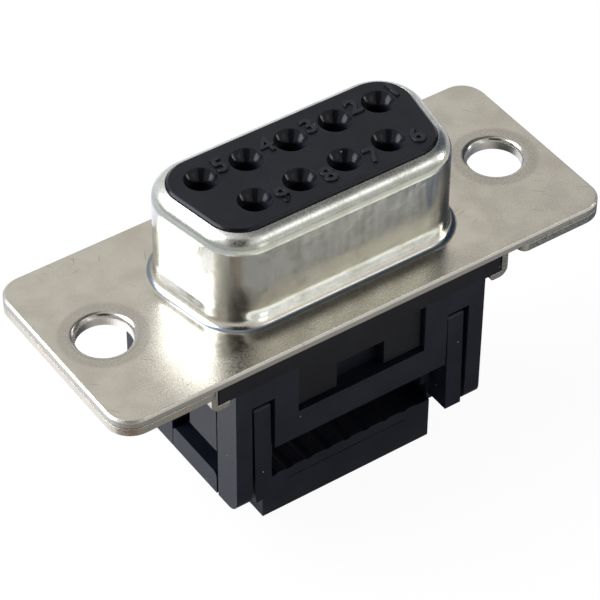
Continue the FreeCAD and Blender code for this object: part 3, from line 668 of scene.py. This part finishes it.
class RECEPTACLE_OT_eyelet_rims(bpy.types.Operator):
    """Adds the smooth rolled mouths of the two fixing holes"""
    bl_idname = "receptacle.eyelet_rims"
    bl_label = "Eyelet rims"

    def execute(self, context):
        sizes = context.scene.receptacle_sizes
        bm = bmesh.new()
        for x in (-sizes.hole_spacing / 2, sizes.hole_spacing / 2):
            self.add_rim(bm, x, sizes)
        bmesh.ops.recalc_face_normals(bm, faces=bm.faces)
        for face in bm.faces:
            face.smooth = True
        plating = bpy.data.materials[SHELL_FINISH]
        piece_from(bm, "eyelet_rims", plating, body_of("front_shell"))
        return {"FINISHED"}

    def add_rim(self, bm, x, sizes):
        """One rolled mouth, spun from a quarter round that runs down into the bore."""
        bore = sizes.hole_bore / 2 - RIM_PROUD
        radius = sizes.rim_round
        points = [(bore + radius - radius * math.sin(turn), RIM_PROUD - radius + radius * math.cos(turn))
                  for turn in (math.pi / 2 * step / RIM_STEPS for step in range(RIM_STEPS + 1))]
        points.append((bore, -RIM_DEPTH * radius))
        verts = [bm.verts.new((x + r, 0, z)) for r, z in points]
        edges = [bm.edges.new(pair) for pair in zip(verts, verts[1:])]
        bmesh.ops.spin(bm, geom=verts + edges, cent=(x, 0, 0), axis=UP, angle=2 * math.pi,
                       steps=RIM_SEGMENTS, use_merge=True)


class RECEPTACLE_OT_mouldings(bpy.types.Operator):
    """Gives the insulator, the housing and the cable cover their moulded finish"""
    bl_idname = "receptacle.mouldings"
    bl_label = "Mouldings"

    def execute(self, context):
        sizes = context.scene.receptacle_sizes
        colours = context.scene.receptacle_colours
        insulator = glass_filled_polyester("polyester_mating_face", sizes, colours, colours.mating_face,
                                           MOULDED, FACE_SHEEN, has_entries=True)
        housing = glass_filled_polyester("polyester_housing", sizes, colours, colours.moulding, MOULDED,
                                         HOUSING_SHEEN)
        dress("front_insulator", insulator)
        for node in ("contact_housing", "cable_cover"):
            dress(node, housing)
        return {"FINISHED"}


class RECEPTACLE_OT_contacts(bpy.types.Operator):
    """Gives the nine stamped contacts their gold flash"""
    bl_idname = "receptacle.contacts"
    bl_label = "Contacts"

    def execute(self, context):
        material = gold_flashed_bronze("gold_flashed_bronze", context.scene.receptacle_colours)
        for number in range(1, CONTACT_COUNT + 1):
            dress("contact_%d" % number, material)
        return {"FINISHED"}


class RECEPTACLE_OT_pin_numbers(bpy.types.Operator):
    """Adds the raised contact numbers to the mating face"""
    bl_idname = "receptacle.pin_numbers"
    bl_label = "Pin numbers"

    def execute(self, context):
        sizes = context.scene.receptacle_sizes
        face_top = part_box("front_insulator")[1].z
        bm = bmesh.new()
        for number, place in socket_places(sizes).items():
            aside = sizes.numeral_aside_long if number <= LONG_ROW else -sizes.numeral_aside_short
            self.add_numeral(bm, number, place + Vector((sizes.numeral_right, aside, face_top)), sizes)
        bmesh.ops.remove_doubles(bm, verts=bm.verts, dist=MERGE_REACH)
        bmesh.ops.recalc_face_normals(bm, faces=bm.faces)
        colours = context.scene.receptacle_colours
        polished = glass_filled_polyester("polyester_numerals", sizes, colours, colours.mating_face, NUMERAL,
                                          NUMERAL_SHEEN)
        piece_from(bm, "pin_numbers", polished, body_of("front_insulator"))
        return {"FINISHED"}

    def add_numeral(self, bm, number, spot, sizes):
        """One number as a raised text mesh, whose left side is at the spot."""
        text = bpy.data.curves.new("numeral", "FONT")
        text.body = str(number)
        text.size = sizes.numeral_height / FIGURE_SHARE
        text.align_x = "CENTER"
        text.align_y = "CENTER"
        text.extrude = sizes.numeral_rise
        text.bevel_depth = sizes.numeral_round
        text.bevel_resolution = 1
        text.offset = sizes.numeral_weight
        holder = bpy.data.objects.new("numeral", text)
        bpy.context.scene.collection.objects.link(holder)
        mesh = bpy.data.meshes.new_from_object(holder.evaluated_get(bpy.context.evaluated_depsgraph_get()))
        corners = [Vector(corner) for corner in holder.bound_box]
        middle = sum(corners, Vector()) / len(corners)
        left = min(corner.x for corner in corners)
        mesh.transform(Matrix.Translation(spot - Vector((left, middle.y, 0))))
        bm.from_mesh(mesh)
        bpy.data.meshes.remove(mesh)
        bpy.data.objects.remove(holder)
        bpy.data.curves.remove(text)


def add_lamp(name, towards, distance, width, height, radiance, colour=(1, 1, 1)):
    """Soft lamp that shines on the part; radiance is its brightness as seen in a mirror."""
    light = bpy.data.lights.new(name, "AREA")
    light.shape = "RECTANGLE"
    light.size = width
    light.size_y = height
    light.energy = radiance * math.pi * width * height
    light.color = colour
    lamp = bpy.data.objects.new(name, light)
    direction = Vector(towards).normalized()
    lamp.location = direction * distance
    lamp.rotation_euler = direction.to_track_quat("Z", "Y").to_euler()
    lamp.visible_camera = False
    bpy.context.scene.collection.objects.link(lamp)


def plain_card(name, colour, strength=1.0):
    """Card that reflections show in its own colour, whatever light falls on it."""
    material = empty_material(name)
    tree = material.node_tree
    card = add_node(tree, "Emission", {"Color": rgba(colour), "Strength": strength})
    add_node(tree, "OutputMaterial", {"Surface": card})
    return material


def add_card(name, towards, distance, width, height, material):
    """Card of the studio, square to the direction it stands in, that the camera doesn't see."""
    bm = bmesh.new()
    direction = Vector(towards).normalized()
    turn = direction.to_track_quat("Z", "Y").to_matrix().to_4x4()
    bmesh.ops.create_grid(bm, x_segments=1, y_segments=1, size=0.5)
    bmesh.ops.scale(bm, vec=(width, height, 1), verts=bm.verts)
    bmesh.ops.transform(bm, matrix=Matrix.Translation(direction * distance) @ turn, verts=bm.verts)
    card = object_from(bm, name, material)
    card.visible_camera = False
    return card


def add_paper(name, colour, centre, size, turn, rise, glow=1.0):
    """Patch of floor that only reflections see, in millimetres, a little above the white paper."""
    card = add_card(name, UP, 0, size[0] * MM, size[1] * MM, plain_card(name, colour, glow))
    spot = Vector((centre[0] * MM, centre[1] * MM, CAD_BOX[0].z + rise * MM))
    card.data.transform(Matrix.Translation(spot) @ Matrix.Rotation(turn, 4, "Z"))
    card.visible_diffuse = False
    card.visible_shadow = False


def mirrored(tree, path):
    """1 for rays that come off gloss or through glass."""
    return add_node(tree, "Math", {0: path.outputs["Is Glossy Ray"], 1: path.outputs["Is Transmission Ray"]},
                    operation="MAXIMUM")


def white_world(studio):
    """Surroundings that show plain white, and light the part less strongly."""
    world = bpy.data.worlds.new("white_studio")
    world.use_nodes = True
    tree = world.node_tree
    tree.nodes.clear()
    path = add_node(tree, "LightPath")
    seen = add_node(tree, "Math", {0: path.outputs["Is Camera Ray"], 1: mirrored(tree, path)},
                    operation="MAXIMUM")
    shown = add_node(tree, "Background", {"Color": (1, 1, 1, 1), "Strength": 1.0})
    lamp = add_node(tree, "Background", {"Color": (1, 1, 1, 1), "Strength": studio.fill})
    mixed = add_node(tree, "MixShader", {0: seen, 1: lamp, 2: shown})
    add_node(tree, "OutputWorld", {"Surface": mixed})
    bpy.context.scene.world = world


def white_paper(colours, studio):
    """Matt white paper, nearly plain white to the camera and with more of its shadow in reflections."""
    material = empty_material("white_paper")
    tree = material.node_tree
    paper = add_node(tree, "BsdfDiffuse", {"Color": rgba(colours.floor)})
    glow = add_node(tree, "Emission", {"Color": rgba(colours.floor), "Strength": 1.0})
    path = add_node(tree, "LightPath")
    direct = add_node(tree, "Math", {0: path.outputs["Is Camera Ray"], 1: studio.floor_glow},
                      operation="MULTIPLY")
    reflected = add_node(tree, "Math", {0: mirrored(tree, path), 1: studio.floor_mirror_glow},
                         operation="MULTIPLY")
    share = add_node(tree, "Math", {0: direct, 1: reflected}, operation="ADD")
    mixed = add_node(tree, "MixShader", {0: share, 1: paper, 2: glow})
    add_node(tree, "OutputMaterial", {"Surface": mixed})
    return material


def add_floor(colours, studio):
    """Square floor that the part stands on."""
    bm = bmesh.new()
    bmesh.ops.create_grid(bm, x_segments=1, y_segments=1, size=studio.floor_size / 2)
    bmesh.ops.translate(bm, vec=(0, 0, CAD_BOX[0].z), verts=bm.verts)
    object_from(bm, "floor", white_paper(colours, studio))


def add_camera(view):
    """Camera that looks at its aim from the azimuth and elevation of the view."""
    back = Vector((math.sin(view.azimuth) * math.cos(view.elevation),
                   -math.cos(view.azimuth) * math.cos(view.elevation), math.sin(view.elevation)))
    right = Vector(UP).cross(back).normalized()
    turn = Matrix((right, back.cross(right), back)).transposed() @ Matrix.Rotation(view.roll, 3, "Z")
    camera = bpy.data.objects.new("camera", bpy.data.cameras.new("camera"))
    camera.data.sensor_width = SENSOR_WIDTH
    camera.data.lens = view.lens
    camera.data.clip_start = NEAREST
    camera.data.clip_end = FARTHEST
    camera.matrix_world = Matrix.Translation(Vector(view.aim) + back * view.distance) @ turn.to_4x4()
    bpy.context.scene.collection.objects.link(camera)
    bpy.context.scene.camera = camera


class RECEPTACLE_OT_studio(bpy.types.Operator):
    """Builds the white floor, the lamps, the cards and the camera"""
    bl_idname = "receptacle.studio"
    bl_label = "Studio"

    def execute(self, context):
        studio = context.scene.receptacle_studio
        colours = context.scene.receptacle_colours
        add_floor(colours, studio)
        white_world(studio)
        self.add_lamps(colours, studio)
        self.add_cards(colours, studio)
        self.add_papers(colours, studio)
        add_camera(context.scene.receptacle_camera)
        context.scene.view_settings.view_transform = "Standard"
        return {"FINISHED"}

    def add_lamps(self, colours, studio):
        """Soft box at the back on the left, and three strips in front and on the right."""
        add_lamp("key_soft_box", KEY_SIDE, studio.key_distance, studio.key_size, studio.key_size,
                 studio.key_radiance, colours.key)
        add_lamp("low_strip_light", FRONT_SIDE, studio.strip_distance, studio.front_width,
                 studio.front_height, studio.front_radiance)
        add_lamp("overhead_strip_light", OVERHEAD_SIDE, studio.strip_distance, studio.overhead_width,
                 studio.overhead_height, studio.overhead_radiance)
        add_lamp("side_strip_light", STRIP_SIDE, studio.strip_distance, studio.side_width,
                 studio.side_height, studio.side_radiance)

    def add_cards(self, colours, studio):
        """Darker cards that the plating and the mouldings mirror."""
        add_card("camera_card", CAMERA_SIDE, studio.card_distance, width=340 * MM, height=400 * MM,
                 material=plain_card("dark_card", colours.camera_side))
        add_card("ceiling_card", CEILING_SIDE, studio.card_distance, width=400 * MM, height=360 * MM,
                 material=plain_card("grey_card", colours.ceiling))
        add_card("right_card", RIGHT_SIDE, studio.card_distance, width=420 * MM, height=480 * MM,
                 material=plain_card("blue_card", colours.right_side))

    def add_papers(self, colours, studio):
        """Painted shadows and painted pools of light on patches of the floor that the part mirrors, the
        higher ones over the lower ones.
        """
        add_paper("shaded_paper", colours.floor_shade, centre=(8, -16), size=(70, 22), turn=0.35, rise=0.2)
        add_paper("near_paper", colours.floor_near, centre=(4, -9), size=(46, 9), turn=0.0, rise=0.28)
        add_paper("right_paper", colours.floor_right, centre=(33, 0), size=(32, 50), turn=0.0, rise=0.25)
        add_paper("left_paper", colours.floor, centre=(-21, 4), size=(14, 26), turn=0.0, rise=0.25,
                  glow=studio.left_glow)
        add_paper("warm_paper", colours.floor_warm, centre=(-22.5, -16), size=(11, 24), turn=0.2, rise=0.3)
        add_paper("lit_paper", colours.floor_bright, centre=(20, -78), size=(180, 110), turn=0.35, rise=0.1,
                  glow=studio.paper_glow)


class RECEPTACLE_PT_panel(bpy.types.Panel):
    """Lists the receptacle's operators and values"""
    bl_label = "Receptacle"
    bl_idname = "RECEPTACLE_PT_panel"
    bl_space_type = "VIEW_3D"
    bl_region_type = "UI"
    bl_category = "Receptacle"

    def draw(self, context):
        for operator in OPERATORS:
            self.layout.operator(operator.bl_idname)
        for group_name in GROUPS:
            group = getattr(context.scene, group_name)
            box = self.layout.box()
            for field in group.bl_rna.properties.keys():
                if field not in ("name", "rna_type"):
                    box.prop(group, field)


OPERATORS = (RECEPTACLE_OT_plated_sheet, RECEPTACLE_OT_eyelet_rims, RECEPTACLE_OT_mouldings,
             RECEPTACLE_OT_contacts, RECEPTACLE_OT_pin_numbers, RECEPTACLE_OT_studio)
GROUPS = {"receptacle_sizes": ReceptacleSizes, "receptacle_colours": ReceptacleColours,
          "receptacle_camera": ReceptacleCamera, "receptacle_studio": ReceptacleStudio}
CLASSES = (*GROUPS.values(), *OPERATORS, RECEPTACLE_PT_panel)


def register():
    for cls in CLASSES:
        bpy.utils.register_class(cls)
    for name, group in GROUPS.items():
        setattr(bpy.types.Scene, name, PointerProperty(type=group))


def unregister():
    for name in GROUPS:
        delattr(bpy.types.Scene, name)
    for cls in reversed(CLASSES):
        bpy.utils.unregister_class(cls)


def main():
    register()
    for operator in OPERATORS:
        group, name = operator.bl_idname.split(".")
        getattr(getattr(bpy.ops, group), name)()


if __name__ == "__main__":
    main()
